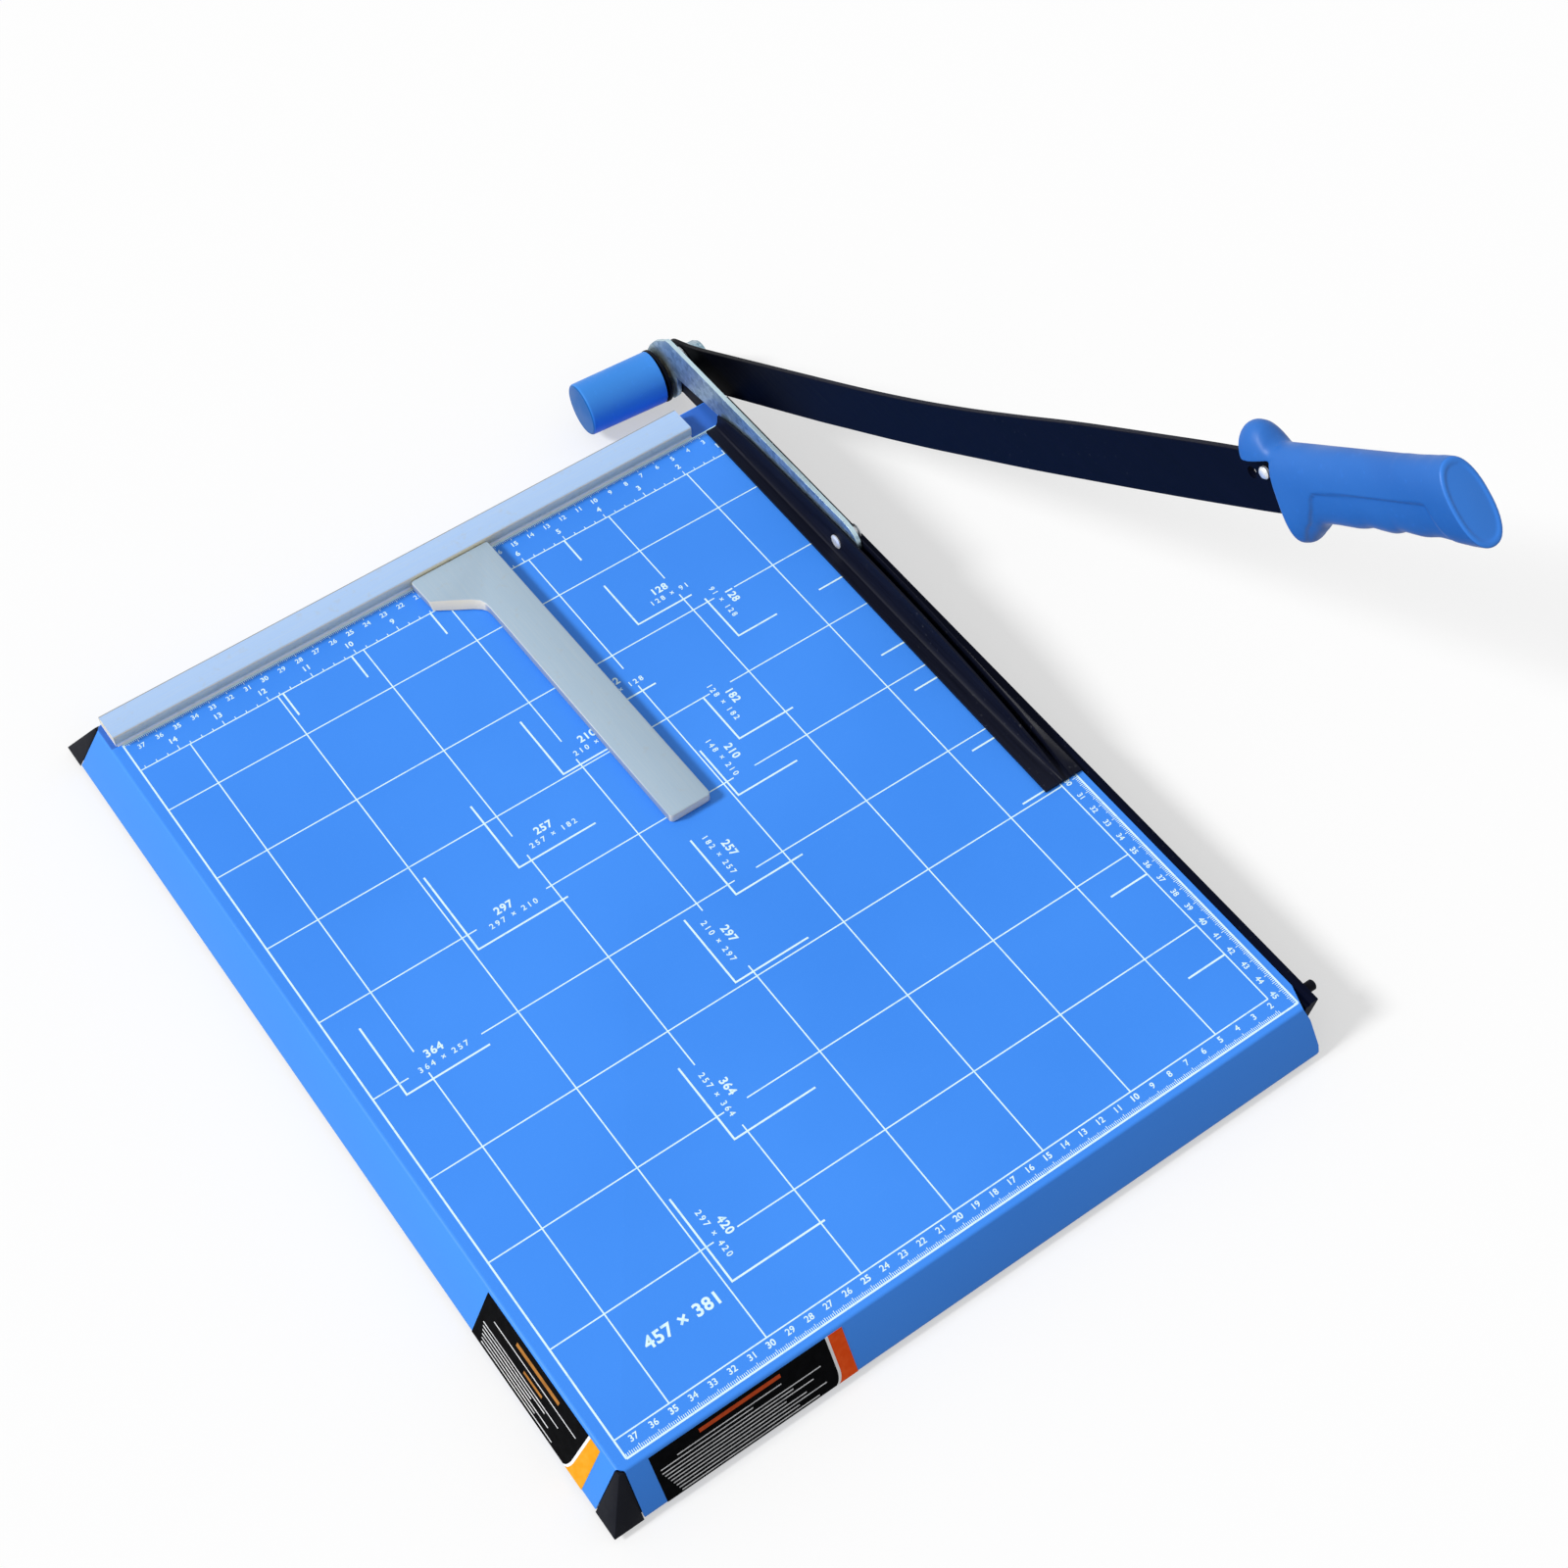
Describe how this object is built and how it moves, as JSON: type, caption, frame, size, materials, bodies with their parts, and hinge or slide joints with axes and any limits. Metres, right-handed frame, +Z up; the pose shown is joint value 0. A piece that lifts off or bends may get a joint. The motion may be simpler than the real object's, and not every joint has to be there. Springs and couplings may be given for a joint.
{
  "type": "paper cutter",
  "caption": "Guillotine paper cutter with a flat gridded board, a hinged sabre blade with a moulded handle, a swinging clamp bar and a sliding paper stop.",
  "frame": {"origin": "on the table, under the middle of the whole cutter with its blade raised", "axes": "+X to the right, towards the blade's side; +Y from the handle's end of the board to the fence and the pivot; +Z up"},
  "size_m": [0.41, 0.5642, 0.3882],
  "materials": {
    "board_blue": "smooth satin paint with printed lines",
    "moulded_blue": "moulded, satin",
    "black_paint": "satin black",
    "black_steel": "black finish, edge ground bright",
    "zinc_steel": "zinc plated",
    "brass": "dull",
    "fence_plastic": "satin",
    "stop_plastic": "satin",
    "black_plastic": "satin",
    "black_rubber": "matt"
  },
  "bodies": {
    "board": {"base_tray": "board_blue", "corner_cap_front_left": "black_plastic", "corner_cap_rear_left": "black_plastic", "channel_front": "zinc_steel", "channel_rear": "zinc_steel", "foot_front_left": "black_rubber", "foot_front_right": "black_rubber", "foot_rear_left": "black_rubber", "foot_rear_right": "black_rubber", "side_beam": "black_paint", "pivot_lug": "black_paint", "counter_knife": "black_steel", "knife_screw_1": "black_steel", "knife_screw_2": "black_steel", "knife_screw_3": "black_steel", "knife_screw_4": "black_steel", "stop_pin": "black_steel", "fence": "fence_plastic", "fence_screw_left": "zinc_steel", "fence_screw_right": "zinc_steel", "pivot_bolt": "zinc_steel", "pivot_spacer": "zinc_steel", "pivot_washer": "zinc_steel", "brass_washer": "brass", "flange_washer": "black_paint", "spring_seat": "zinc_steel", "pivot_spring": "zinc_steel", "pivot_nut": "zinc_steel", "pivot_cap": "moulded_blue"},
    "blade": {"blade": "black_steel", "blade_stud": "zinc_steel", "handle": "moulded_blue", "handle_screw_1": "zinc_steel", "handle_screw_2": "zinc_steel"},
    "press_arm": {"press_arm": "zinc_steel"},
    "clamp": {"clamp_bar": "black_paint", "clamp_rivet": "zinc_steel"},
    "paper_stop": {"paper_stop": "stop_plastic"}
  },
  "joints": [
    {"name": "blade_hinge", "type": "hinge", "parent": "board", "child": "blade", "pos_m": [0.19219, 0.26369, 0.0215], "axis": [-1, 0, 0], "range_deg": [-30.8, 35]},
    {"name": "press_hinge", "type": "hinge", "parent": "board", "child": "press_arm", "pos_m": [0.19219, 0.26369, 0.0215], "axis": [-1, 0, 0], "range_deg": [0, 6]},
    {"name": "clamp_rivet_hinge", "type": "hinge", "parent": "press_arm", "child": "clamp", "pos_m": [0.17814, 0.09398, 0.0373], "axis": [-1, 0, 0], "range_deg": [-6, 0]},
    {"name": "stop_slide", "type": "slide", "parent": "board", "child": "paper_stop", "axis": [1, 0, 0], "range_m": [-0.168, 0.126]}
  ],
  "couplings": [
    {"joint": "clamp_rivet_hinge", "follows": "press_hinge", "ratio": -1}
  ]
}
